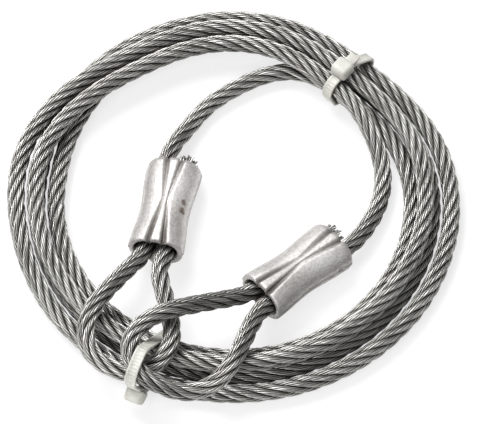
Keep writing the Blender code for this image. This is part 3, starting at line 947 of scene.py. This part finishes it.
def natural_nylon():
    """Milky nylon: light passes into it a little and its moulded skin is uneven."""
    made, nodes, links = new_material("natural_nylon")
    surface = nodes["Principled BSDF"]
    coordinates = nodes.new("ShaderNodeTexCoord").outputs["Object"]
    cloud = noise_node(nodes, links, coordinates, 260.0, 3.0)
    milk = ramp_node(
        nodes, links, cloud, ((0.3, (0.43, 0.425, 0.385)), (0.7, (0.55, 0.545, 0.505)))
    )
    # Painted shade: darker in the grooves between the ribs and where the head meets the strap.
    painted_recess_shade = painted_hollow_shade(
        nodes, links, 0.8 * MM, ((0.1, (0.35, 0.34, 0.31)), (0.85, (1.0, 1.0, 1.0)))
    )
    links.new(multiply_colour(nodes, links, milk, painted_recess_shade), surface.inputs["Base Color"])
    surface.inputs["Subsurface Weight"].default_value = 0.3
    surface.inputs["Subsurface Radius"].default_value = (0.8 * MM, 0.8 * MM, 0.7 * MM)
    surface.inputs["Subsurface Scale"].default_value = 1.0
    fine = noise_node(nodes, links, coordinates, 1400.0, 2.0)
    rough = value_node(nodes, links, "MULTIPLY", fine, 0.2)
    rough = value_node(nodes, links, "ADD", rough, 0.3)
    links.new(rough, surface.inputs["Roughness"])
    bump(nodes, links, surface, fine, 0.2, 0.06 * MM)
    return made


# ---------------------------------------------------------------- studio


def add_light(name, place, size, watts):
    data = bpy.data.lights.new(name, "AREA")
    data.shape = "RECTANGLE"
    data.size = size[0]
    data.size_y = size[1]
    data.energy = watts
    light = bpy.data.objects.new(name, data)
    bpy.context.scene.collection.objects.link(light)
    light.location = place
    way = Vector(LIGHT_TARGET) - Vector(place)
    light.rotation_euler = way.to_track_quat("-Z", "Y").to_euler()


def pale_floor():
    """White floor that glows a little, as a floor lit from below does, so shadows stay light."""
    made, nodes, links = new_material("pale_floor")
    surface = nodes["Principled BSDF"]
    surface.inputs["Base Color"].default_value = (0.93, 0.93, 0.93, 1.0)
    surface.inputs["Roughness"].default_value = 0.9
    glow = nodes.new("ShaderNodeEmission")
    seen = nodes.new("ShaderNodeLightPath").outputs["Is Camera Ray"]
    share = value_node(nodes, links, "MULTIPLY", seen, FLOOR_GLOW)
    mixed = nodes.new("ShaderNodeMixShader")
    links.new(share, mixed.inputs["Fac"])
    links.new(surface.outputs[0], mixed.inputs[1])
    links.new(glow.outputs[0], mixed.inputs[2])
    links.new(mixed.outputs[0], nodes["Material Output"].inputs["Surface"])
    return made


def add_studio():
    """Pale floor, a soft overhead light with a darker room round it."""
    scene = bpy.context.scene
    scene.view_settings.view_transform = "Standard"
    world = bpy.data.worlds.new("studio")
    world.use_nodes = True
    scene.world = world
    nodes, links = world.node_tree.nodes, world.node_tree.links
    way = nodes.new("ShaderNodeTexCoord").outputs["Generated"]
    split = nodes.new("ShaderNodeSeparateXYZ")
    links.new(way, split.inputs[0])
    room = ramp_node(
        nodes, links, split.outputs["Z"],
        ((0.0, (0.20, 0.20, 0.20)), (0.5, (0.26, 0.26, 0.26)), (1.0, (0.75, 0.75, 0.75))),
    )
    background = nodes["Background"]
    links.new(room, background.inputs["Color"])
    background.inputs["Strength"].default_value = 1.0
    bpy.ops.mesh.primitive_plane_add(size=FLOOR_SIZE)
    floor = bpy.context.object
    floor.name = "floor"
    floor.data.materials.append(pale_floor())
    add_light("key", KEY_PLACE, KEY_SIZE, KEY_WATTS)
    add_light("fill", FILL_PLACE, FILL_SIZE, FILL_WATTS)


def add_camera():
    """The camera looks down on the coil from the front, through a long lens."""
    elevation = math.radians(CAMERA_ELEVATION)
    target = Vector(TO_ORIGIN) + Vector(CAMERA_TARGET)
    data = bpy.data.cameras.new("camera")
    data.sensor_width = SENSOR_WIDTH
    data.lens = SENSOR_WIDTH * CAMERA_DISTANCE / VIEW_WIDTH
    camera = bpy.data.objects.new("camera", data)
    bpy.context.scene.collection.objects.link(camera)
    back = Vector((0.0, -math.cos(elevation), math.sin(elevation)))
    camera.location = (target + back * CAMERA_DISTANCE) * MM
    camera.rotation_euler = (-back).to_track_quat("-Z", "Y").to_euler()
    bpy.context.scene.camera = camera


def main():
    add_rope(galvanised_wire())
    aluminium = pressed_aluminium()
    add_ferrule(
        "pressed_ferrule_a", "end_a", FERRULE_A_EYE_END, FERRULE_A_LEAD_END, aluminium,
        FERRULE_A_REFLECTION_PATCHES, False,
    )
    add_ferrule(
        "pressed_ferrule_b", "end_b", FERRULE_B_EYE_END, FERRULE_B_LEAD_END, aluminium,
        (), True,
    )
    nylon = natural_nylon()
    add_cable_tie(
        "cable_tie_1", "tie_1", TIE_1_ANGLE, TIE_1_TRAVEL, TIE_1_HEAD_WAY, TIE_1_TAIL_WAY,
        nylon,
    )
    add_cable_tie(
        "cable_tie_2", "coil", TIE_2_ANGLE, 0.0, TIE_2_HEAD_WAY, TIE_2_TAIL_WAY, nylon
    )
    add_studio()
    add_camera()


main()
